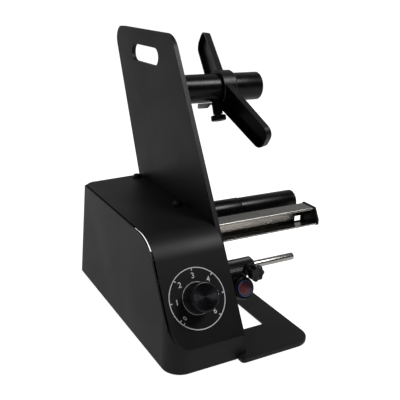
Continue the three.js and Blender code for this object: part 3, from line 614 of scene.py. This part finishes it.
def power_inlet():
    """A barrel socket with a stepped rim and a centre pin."""
    outward = Vector((-0.1, 1, 0.2)).normalized()
    centre = middle("power_inlet")
    low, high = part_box("power_inlet")
    face = facing(centre + outward * (high - low).y / 2, outward)
    profile = fillet(
        [(3.2, -12), (5.2, -12), (5.2, -2.4), (7.4, -2.4, 0.3), (7.4, -1, 0.5), (6, -0.5, 0.3),
         (3.8, -0.5, 0.3), (3.2, -1.6)],
        4,
    )
    rim = lathe("power_socket_rim", profile, face, SMALL, ring=True)
    dress(rim, MOULDED, "frame", "black_plastic", "power_inlet")
    pin = lathe("power_socket_pin", rod_profile(1.0, -12, -2.2, 0.4), face, SMALL)
    dress(pin, ZINC, "frame", "zinc_steel")
    floor = lathe("power_socket_floor", rod_profile(3.1, -12, -10.5, 0.2), face, SMALL)
    dress(floor, MOULDED, "frame", "black_plastic")


# ------------------------------------------------------------------------ the speed dial

DIAL_RING = 29.65  # radius of the printed ring
DIGIT_RADIUS = 22.0
DIGIT_HEIGHT = 5.4
DIGITS = {"1": -90, "2": -45, "3": 0, "4": 45, "5": 90, "6": 135}
OFF_TICKS = (-128, -137)
PRINT_LIFT = 0.035  # of the ink's face over the panel


def on_dial(radius, degrees):
    angle = math.radians(degrees)
    return radius * math.sin(angle), radius * math.cos(angle)


def printed_ring(name, radius, width, face):
    profile = [(radius - width / 2, 0.0), (radius + width / 2, 0.0),
               (radius + width / 2, PRINT_LIFT), (radius - width / 2, PRINT_LIFT)]
    ring = lathe(name, profile, face, 160, ring=True)
    dress(ring, INK, "frame", "satin_black_paint")


def printed_tick(name, degrees, face, length=2.6, width=1.0):
    x, y = on_dial(DIAL_RING - length / 2, degrees)
    turn = Matrix.Translation((x * MM, y * MM, 0)) @ Matrix.Rotation(-math.radians(degrees), 4, "Z")
    low = (-width / 2, -length / 2, 0)
    high = (width / 2, length / 2, PRINT_LIFT)
    dress(block(name, low, high, face @ turn), INK, "frame", "satin_black_paint")


def printed_digit(name, text, radius, degrees, face, height=DIGIT_HEIGHT, turned=0):
    curve = bpy.data.curves.new(name, "FONT")
    curve.body = text
    curve.align_x = "CENTER"
    curve.align_y = "CENTER"
    curve.size = height / 0.7 * MM
    curve.extrude = PRINT_LIFT / 2 * MM
    curve.offset = 0.06 * MM
    letter = bpy.data.objects.new(name, curve)
    bpy.context.scene.collection.objects.link(letter)
    bpy.context.view_layer.update()
    graph = bpy.context.evaluated_depsgraph_get()
    mesh = bpy.data.meshes.new_from_object(letter.evaluated_get(graph))
    bpy.data.objects.remove(letter)
    digit = bpy.data.objects.new(name, mesh)
    bpy.context.scene.collection.objects.link(digit)
    x, y = on_dial(radius, degrees)
    lift = Matrix.Translation((x * MM, y * MM, PRINT_LIFT / 2 * MM))
    digit.matrix_world = face @ lift @ Matrix.Rotation(math.radians(turned), 4, "Z")
    dress(digit, INK, "frame", "satin_black_paint")


def dial_print(face):
    printed_ring("dial_ring_outer", DIAL_RING, 0.9, face)
    printed_ring("dial_ring_inner", 15.8, 0.45, face)
    for text, degrees in DIGITS.items():
        printed_tick(f"dial_tick_{text}", degrees, face)
        printed_digit(f"dial_digit_{text}", text, DIGIT_RADIUS, degrees, face)
    for index, degrees in enumerate(OFF_TICKS):
        printed_tick(f"dial_off_tick_{index + 1}", degrees, face)
    printed_digit("dial_off_mark", "0", 23.4, sum(OFF_TICKS) / 2, face, 4.2, 45)


def speed_knob(face):
    """A turned face on a finely ribbed body, with a skirt at its foot."""
    profile = fillet(
        [(0, 6), (7.5, 6), (7.5, 1), (14.2, 0.9, 0.4), (15, 1.4, 0.3), (15, 2.9, 0.4), (14.45, 3.5),
         (14.35, 16.9, 0.4), (13.8, 17.5, 0.3), (13.1, 17.8, 0.2)],
        4,
        False,
    )

    def ribs(radius, z):
        return 0.14 if 3.4 < z < 16.8 and radius > 14.2 else 0

    def dished(radius):
        return (radius, 17.6 + 0.15 * (radius / 12.8) ** 2)

    under_face = [(12.8, 17.78), (0, 16.6)]
    body = lathe("speed_knob_body", profile + under_face, face, 480, False, 80, ribs)
    groove = Matrix.Rotation(math.radians(133), 4, "Z")
    rings = [dished(12.7 - 1.27 * index) for index in range(11)]
    cap = lathe("speed_knob_face", [(0, 16.9), (12.7, 16.9)] + rings, face @ groove, 192)
    slot = block("slot", (-0.35, 7.5, 17.2), (0.35, 12, 19), face @ groove)
    combine(cap, "DIFFERENCE", slot)
    line = block("speed_knob_pointer", (-0.32, 7.55, 17.0), (0.32, 11.95, 17.3), face @ groove)
    dress(body, KNOB_SIDE, "speed_knob", "black_anodised", "speed_knob")
    dress(cap, KNOB_FACE, "speed_knob", "black_anodised")
    dress(line, ZINC, "speed_knob", "black_anodised")


# ------------------------------------------------------- rollers, supply tube and rod


ROLLER_START = 6
ROLLER_TUBE_END = 137
ROLLER_END = 140
SLEEVE_END = 64.5


def roller():
    axis = along_x("winding_roller")
    tube_section = tube_profile(12.5, 10.5, ROLLER_START, ROLLER_TUBE_END, 0.3)
    tube = lathe("roller_tube", tube_section, axis, ring=True)
    dress(tube, TUBE, "winding_roller", "gloss_black_paint", "winding_roller")
    sleeve_section = tube_profile(13, 12.55, ROLLER_START, SLEEVE_END, 0.2)
    sleeve = lathe("roller_sleeve_tube", sleeve_section, axis, ring=True)
    dress(sleeve, TUBE, "winding_roller", "gloss_black_paint", "roller_sleeve")
    cap_start = ROLLER_TUBE_END + 0.3
    dimple = ROLLER_END - 0.8
    cap_profile = fillet(
        [(0, cap_start), (12.4, cap_start, 0.2), (12.4, ROLLER_END, 0.9), (2.2, ROLLER_END, 0.3),
         (1.8, dimple), (0, dimple)],
        5,
        False,
    )
    cap = lathe("roller_end_disc", cap_profile, axis)
    dress(cap, TUBE, "winding_roller", "gloss_black_paint", "roller_end_cap")


def supply():
    axis = along_x("supply_tube")
    low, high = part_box("supply_tube")
    radius = (high.z - low.z) / 2 / MM
    start = (low.x - ORIGIN.x) / MM
    end = (high.x - ORIGIN.x) / MM
    section = tube_profile(radius, radius - 2.2, start, end, 0.7)
    tube = lathe("supply_tube_wall", section, axis, ring=True)
    dress(tube, TUBE, "supply_tube", "gloss_black_paint", "supply_tube")
    inner = radius - 2.3
    plug_profile = fillet(
        [(0, end - 8), (inner, end - 8), (inner, end - 1, 0.6), (inner - 2.5, end - 1, 0.4),
         (inner - 3, end - 1.8), (0, end - 1.8)],
        4,
        False,
    )
    plug = lathe("supply_plug_disc", plug_profile, axis)
    dress(plug, MOULDED, "supply_tube", "black_plastic", "supply_end_plug")


def guide_rod():
    axis = along_x("guide_rod")
    profile = fillet([(0, 5.3), (4, 5.3, 0.2), (4, 100, 0.7), (0, 100)], 5, False)
    bar = lathe("guide_rod_bar", profile, axis, SMALL)
    dress(bar, POLISHED, "frame", "stainless_steel", "guide_rod")


# ------------------------------------------------------------------------- roll guide

# Millimetres, and for the wings, from the supply tube's axis.
GUIDE_TILT = math.radians(33)
GUIDE_DISH = math.atan(0.22)
GUIDE_LEFT = 83
ARM_REACH = 98
ARM_HALF_HUB = 17
ARM_HALF_TIP = 14.5
ARM_CORNER = 11
ARM_DEPTH = 8
ARM_FLOOR = 2.4


def arm_outline(inset):
    corner = max(1, ARM_CORNER - inset)
    tip = ARM_REACH - inset
    half_tip = ARM_HALF_TIP - inset
    half_hub = ARM_HALF_HUB - inset
    corners = [(0, -half_hub), (tip, -half_tip, corner), (tip, half_tip, corner), (0, half_hub)]
    return fillet(corners, 14)


def guide_arm(name, turn, axis):
    """One wing: a deep tray with a thin rim and a step at the foot of its walls."""
    lean = Matrix.Rotation(turn, 4, "Z") @ Matrix.Rotation(-GUIDE_DISH, 4, "Y")
    placement = axis @ Matrix.Translation((0, 0, (GUIDE_LEFT - 2) * MM)) @ lean
    arm = prism(name, arm_outline(0), 0, ARM_DEPTH, placement)
    for inset, floor in ((2.0, 3.6), (3.4, ARM_FLOOR)):
        pocket = prism("pocket", arm_outline(inset), -1, ARM_DEPTH - floor, placement)
        hub = prism("hub_end", circle(24, sides=48), -2, ARM_DEPTH + 1, placement)
        combine(pocket, "DIFFERENCE", hub)
        combine(arm, "DIFFERENCE", pocket)
    return arm


def roll_guide():
    axis = along_x("supply_tube")
    low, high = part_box("supply_tube")
    bore_radius = (high.z - low.z) / 2 / MM + 0.3
    upper = guide_arm("roll_guide_wings", GUIDE_TILT, axis)
    lower = guide_arm("lower_wing", GUIDE_TILT + math.pi, axis)
    hub_corners = [(0, 82), (21, 82, 0.6), (21, 99.5, 0.5), (20.2, 101, 0.5), (0, 101)]
    hub = lathe("hub", fillet(hub_corners, 4, False), axis)
    screw = joint_facing("guide_screw_turn")
    boss = lathe("boss", rod_profile(6, 17, 32.2, 0.7), screw, SMALL)
    combine(upper, "UNION", lower, hub, boss)
    bore = lathe("bore", rod_profile(bore_radius, 50, 125, 0.1), axis)
    thread = lathe("thread", rod_profile(2.8, 10, 40, 0.1), screw, SMALL)
    combine(upper, "DIFFERENCE", bore, thread)
    upper.data.transform(upper.matrix_world)
    upper.matrix_world = Matrix.Identity(4)
    eased(upper, 0.5, 3, math.radians(40))
    dress(upper, MOULDED, "roll_guide", "black_plastic", "roll_guide")


def thumb_screw():
    """A knurled head on a short neck, clamping the guide on its tube."""
    face = joint_facing("guide_screw_turn")
    profile = fillet(
        [(0, 17.7), (2.3, 17.7, 0.4), (2.4, 32.6), (4.6, 32.6, 0.3), (4.6, 33.4), (8.2, 33.4, 0.5),
         (9, 34.4, 0.5), (9, 39.2, 0.6), (8, 40.2, 0.5), (3.4, 40.2, 0.4), (3, 39.6), (0, 39.6)],
        4,
        False,
    )

    def knurl(radius, z):
        return -0.3 if radius > 8.4 and 34.1 < z < 39.6 else 0

    head = lathe("guide_thumb_screw_head", profile, face, 288, False, 24, knurl)
    dress(head, MOULDED, "guide_thumb_screw", "black_plastic", "guide_thumb_screw")


def guide_tab():
    leaf = refined("guide_leaf", "guide_leaf_tab", 0.25)
    dress(leaf, ZINC, "roll_guide", "zinc_steel", "guide_leaf")


# ----------------------------------------------------------------------- peel channel

PEEL_TOP_FRONT = (84.4, 113.5)
PEEL_TOP_BACK = (105, 113.5)
PEEL_FLOOR_BACK = (105, 89)
PEEL_FLOOR_FRONT = (77, 96)
PEEL_START = 7.6
PEEL_END = 138
PEEL_SHEET = 1.5


def peel_channel():
    """A folded stainless channel with a small window at the end of its back wall."""
    floor_rise = PEEL_FLOOR_FRONT[1] - PEEL_FLOOR_BACK[1]
    floor_slope = floor_rise / (PEEL_FLOOR_BACK[0] - PEEL_FLOOR_FRONT[0])
    inside = PEEL_FLOOR_BACK[0] - PEEL_SHEET
    corners = [
        (PEEL_TOP_FRONT[0], PEEL_TOP_FRONT[1] - 2.4, 0.3),
        (PEEL_TOP_FRONT[0] + PEEL_SHEET, PEEL_TOP_FRONT[1] - 2.4, 0.3),
        (PEEL_TOP_FRONT[0] + PEEL_SHEET, PEEL_TOP_FRONT[1] - PEEL_SHEET, 0.3),
        (inside, PEEL_TOP_BACK[1] - PEEL_SHEET, 0.5),
        (inside, PEEL_FLOOR_BACK[1] + PEEL_SHEET + floor_slope * PEEL_SHEET, 0.5),
        (PEEL_FLOOR_FRONT[0], PEEL_FLOOR_FRONT[1] + PEEL_SHEET, 0.3),
        (*PEEL_FLOOR_FRONT, 0.3),
        (*PEEL_FLOOR_BACK, 1.8),
        (*PEEL_TOP_BACK, 1.8),
        (*PEEL_TOP_FRONT, 1.6),
    ]
    placement = facing(ORIGIN, (1, 0, 0), (0, 1, 0))
    channel = prism("peel_channel_sheet", fillet(corners, 6), PEEL_START, PEEL_END, placement)
    window = block("window", (100, 92, 127.5), (110, 98.3, 136.5), placement)
    combine(channel, "DIFFERENCE", window)
    channel.data.transform(channel.matrix_world)
    channel.matrix_world = Matrix.Identity(4)
    eased(channel, 0.12, 2, math.radians(50))
    dress(channel, STAINLESS, "frame", "stainless_steel", "peel_channel")


def peel_ends():
    for node, name in (("peel_mount_plate", "peel_inner_end"), ("peel_end_cap", "peel_outer_end")):
        dress(refined(node, name, 0.35), MOULDED, "frame", "black_plastic", node)


# ------------------------------------------------------------------- sensor and clamp

SENSOR = place(24.4, 46, 54.5)
SENSOR_TILT = math.radians(20)
SENSOR_LOOKS = (0, -math.cos(SENSOR_TILT), math.sin(SENSOR_TILT))


def sensor_clamp():
    """A fluted sleeve on the rod, an eye round the sensor and a web between them."""
    axis = along_x("guide_rod")
    eye_face = facing(SENSOR, SENSOR_LOOKS)
    profile = fillet(
        [(0, 12), (9.4, 12, 0.6), (9.7, 13.4), (9.7, 43), (10, 43.4), (7.6, 46, 0.5), (0, 46)],
        4,
        False,
    )

    def flutes(radius, z):
        return 0.22 if radius > 9.5 and 13 < z < 43.2 else 0

    body = lathe("sensor_clamp_body", profile, axis, 240, False, 40, flutes)
    eye = lathe("eye", rod_profile(13, -27, -9.4, 0.9), eye_face)
    web_low = place(12, 59, 46)
    web_high = place(34, 65, 67)
    web = block("web", tuple(web_low / MM), tuple(web_high / MM))
    stud_face = joint_facing("star_knob_turn")
    boss = lathe("boss", rod_profile(6.5, 6, 12.5, 0.6), stud_face, SMALL)
    combine(body, "UNION", eye, web, boss)
    bore = lathe("bore", rod_profile(4.3, 5, 55, 0.1), axis, SMALL)
    sensor_bore = lathe("sensor_bore", rod_profile(9.3, -60, 10, 0.1), eye_face)
    combine(body, "DIFFERENCE", bore, sensor_bore)
    eased(body, 0.3, 2, math.radians(45))
    dress(body, MOULDED, "sensor_clamp", "black_plastic", "sensor_clamp")


def star_knob():
    """Seven soft lobes, dished in the middle."""
    face = joint_facing("star_knob_turn")
    profile = fillet(
        [(0, 18.6), (4.4, 18.6, 0.3), (4.4, 20), (7.4, 20, 0.8), (8.35, 21.5, 0.8),
         (8.35, 26.4, 1.1),
         (7, 27.8, 0.9), (4.6, 27.8, 0.5), (4.0, 27.0, 0.5), (0, 26.8)],
        5,
        False,
    )

    def lobes(radius, z):
        return 0.7 * min(1, max(0, (radius - 4.6) / 2.6)) if z > 19.8 else 0

    knob = lathe("star_knob_grip", profile, face, 280, False, 7, lobes)
    dress(knob, MOULDED, "star_knob", "black_plastic", "star_knob")


def sensor():
    """An 18 mm threaded barrel with a ring nut, a blue ring and a red lens."""
    face = facing(SENSOR, SENSOR_LOOKS)
    pitch = 1.0
    crest = 8.98
    root = 8.45
    profile = [(0, -54), (4.6, -54), (5, -53.5), (5, -48), (7.8, -46.2), (root, -45.5)]
    for turn in range(42):
        start = -45 + turn * pitch
        profile += [(root, start), (crest, start + 0.45), (crest, start + 0.6)]
    profile += [(root, -3), (crest, -2.8), (crest, -0.3), (8.8, 0)]
    profile += [(8.1, 0), (8.1, -1.6), (0, -1.6)]
    barrel = lathe("sensor_barrel_body", profile, face)
    dress(barrel, MOULDED, "sensor_clamp", "black_plastic", "sensor_barrel")
    blue = lathe("sensor_blue_ring", tube_profile(8.75, 7.65, -1.2, 0.35, 0.25), face, ring=True)
    dress(blue, BLUE, "sensor_clamp", "black_plastic")
    lens_profile = [
        (0, -1.3), (7.6, -1.3), (7.6, -0.35), (7.2, -0.1), (5.5, 0.15), (3, 0.35), (0, 0.45)
    ]
    lens = lathe("sensor_lens_disc", lens_profile, face)
    dress(lens, LENS, "sensor_clamp", "red_lens", "sensor_lens")
    ring_profile = fillet(
        [(9.2, -8.7), (12, -8.7, 0.5), (12, -3.2, 0.8), (11, -1, 0.8), (9.3, -1, 0.3),
         (9.2, -1.6)],
        5,
    )
    ring = lathe("sensor_ring_nut", ring_profile, face, ring=True)
    dress(ring, MOULDED, "sensor_clamp", "black_plastic", "sensor_front_ring")
    lock_nut = refined("sensor_back_nut", "sensor_lock_nut", 0.4)
    dress(lock_nut, MOULDED, "sensor_clamp", "black_plastic", "sensor_back_nut")


# ------------------------------------------------------------- floor, light and camera


def floor():
    """A pale matt floor, wide enough to be the background of every view.

    It is white to the camera, and throws less light than that on the machine.
    """
    bm = bmesh.new()
    corners = circle(1, sides=96)
    bm.faces.new([bm.verts.new((x * 40, y * 40, 0)) for x, y in corners])
    ground = finished("studio_floor", bm, Matrix.Translation((0, 0, cad_box[0][2] - 0.00005)))
    surface = Surface("pale_floor", (0.5, 0.5, 0.5), 0.9, 0.0, 0.1)
    surface.shader.inputs["Emission Color"].default_value = (1, 1, 1, 1)
    seen = surface.node("ShaderNodeLightPath")
    glow = surface.spread(seen.outputs["Is Camera Ray"], 0.4, 0.98, 0, 1)
    surface.link(glow, surface.shader.inputs["Emission Strength"])
    surface.bump(surface.noise(30, 3), 0.02, 0.3)
    ground.data.materials.append(surface.material)


def sky():
    """Soft studio surround: white to the camera, and a dimmer light from behind and overhead."""
    world = bpy.data.worlds.new("studio")
    bpy.context.scene.world = world
    world.use_nodes = True
    nodes = world.node_tree.nodes
    links = world.node_tree.links
    background = nodes["Background"]
    background.inputs["Color"].default_value = (1.0, 1.0, 1.0, 1)
    source = nodes.new("ShaderNodeTexCoord")
    split = nodes.new("ShaderNodeSeparateXYZ")
    links.new(source.outputs["Generated"], split.inputs["Vector"])

    def ramp(output, start, end, low, high):
        node = nodes.new("ShaderNodeMapRange")
        node.interpolation_type = "SMOOTHSTEP"
        node.inputs["From Min"].default_value = start
        node.inputs["From Max"].default_value = end
        node.inputs["To Min"].default_value = low
        node.inputs["To Max"].default_value = high
        links.new(output, node.inputs["Value"])
        return node.outputs["Result"]

    behind = ramp(split.outputs["Y"], -0.1, 0.6, 0.015, 0.32)
    overhead = ramp(split.outputs["Z"], 0.6, 0.95, 0.0, 0.14)
    total = nodes.new("ShaderNodeMath")
    total.operation = "ADD"
    links.new(behind, total.inputs[0])
    links.new(overhead, total.inputs[1])
    seen = nodes.new("ShaderNodeLightPath")
    brightest = nodes.new("ShaderNodeMath")
    brightest.operation = "MAXIMUM"
    links.new(total.outputs["Value"], brightest.inputs[0])
    links.new(seen.outputs["Is Camera Ray"], brightest.inputs[1])
    links.new(brightest.outputs["Value"], background.inputs["Strength"])


def softbox(name, direction, distance, width, height, power):
    light = bpy.data.lights.new(name, "AREA")
    light.shape = "RECTANGLE"
    light.size = width
    light.size_y = height
    light.energy = power
    target = (Vector(cad_box[0]) + Vector(cad_box[1])) / 2
    away = Vector(direction).normalized()
    lamp = bpy.data.objects.new(name, light)
    bpy.context.scene.collection.objects.link(lamp)
    lamp.matrix_world = facing(target + away * distance, away)


CAMERA_EYE = (-0.3266, -0.58876, 0.34836)
CAMERA_LENS = 54.68


def camera():
    yaw = math.radians(29.35)
    pitch = math.radians(19.19)
    roll = math.radians(1.66)
    level = math.cos(pitch)
    forward = Vector((math.sin(yaw) * level, math.cos(yaw) * level, -math.sin(pitch)))
    right = Vector((math.cos(yaw), -math.sin(yaw), 0))
    up = right.cross(forward)
    rolled_right = right * math.cos(roll) + up * math.sin(roll)
    rolled_up = up * math.cos(roll) - right * math.sin(roll)
    data = bpy.data.cameras.new("camera")
    data.sensor_width = 36
    data.lens = CAMERA_LENS
    data.clip_start = 0.01
    eye = bpy.data.objects.new("camera", data)
    bpy.context.scene.collection.objects.link(eye)
    turn = Matrix((rolled_right, rolled_up, -forward)).transposed().to_4x4()
    eye.matrix_world = Matrix.Translation(CAMERA_EYE) @ turn
    bpy.context.scene.camera = eye


# ------------------------------------------------------------------------ everything

dress_cad_nodes()
sheet_metal()
feet()
cover_screws()
power_inlet()
dial_face = joint_facing("knob_turn", -1)
dial_print(dial_face)
speed_knob(dial_face)
roller()
supply()
guide_rod()
roll_guide()
thumb_screw()
guide_tab()
peel_channel()
peel_ends()
sensor_clamp()
star_knob()
sensor()

floor()
sky()
softbox("key_softbox", (0.46, -0.45, 0.77), 1.5, 0.5, 0.5, 13)
softbox("left_fill", (-0.9, -0.1, 0.45), 1.8, 1.0, 1.0, 1.2)
camera()
bpy.context.scene.view_settings.view_transform = "Standard"
